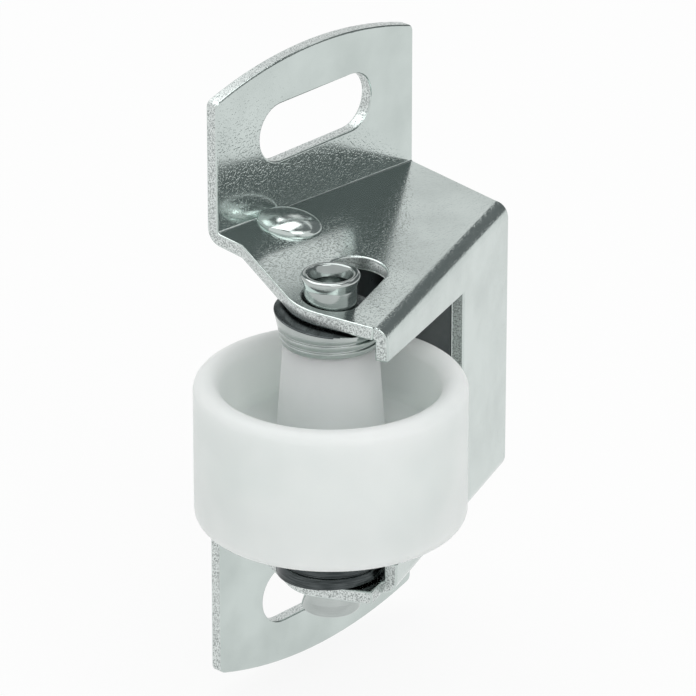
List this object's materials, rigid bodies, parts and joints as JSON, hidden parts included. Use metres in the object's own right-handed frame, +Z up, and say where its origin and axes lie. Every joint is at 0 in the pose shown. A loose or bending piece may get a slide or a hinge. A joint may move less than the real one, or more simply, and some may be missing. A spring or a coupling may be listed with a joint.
{
  "type": "roller catch",
  "caption": "Cupboard roller catch: folded steel bracket with slotted screw ears and a white plastic roller on a sprung sliding pin.",
  "frame": {"origin": "middle of the two screw slots, on the panel face that the ears lie against", "axes": "+X along the ears to the right, +Y into the panel, +Z up along the line of the screw slots"},
  "size_m": [0.0328, 0.0231, 0.0498],
  "materials": {
    "plated_steel": "bright nickel plate",
    "spring_steel": "oiled spring steel",
    "white_plastic": "natural moulded"
  },
  "bodies": {
    "frame": {"bracket": "plated_steel", "return_spring": "spring_steel"},
    "carriage": {"axle_pin": "plated_steel", "upper_collar": "plated_steel", "lower_collar": "plated_steel"},
    "wheel": {"roller": "white_plastic"}
  },
  "joints": [
    {"name": "pin_slide", "type": "slide", "parent": "frame", "child": "carriage", "axis": [0.9354, 0.3535, 0], "range_m": [0, 0.0035], "stiffness_N_per_m": 3000, "springref_m": -0.003, "deforming": ["return_spring"]},
    {"name": "roller_spin", "type": "hinge", "parent": "carriage", "child": "wheel", "pos_m": [-0.01171, -0.01311, 0], "axis": [0, 0, 1], "continuous": true}
  ]
}
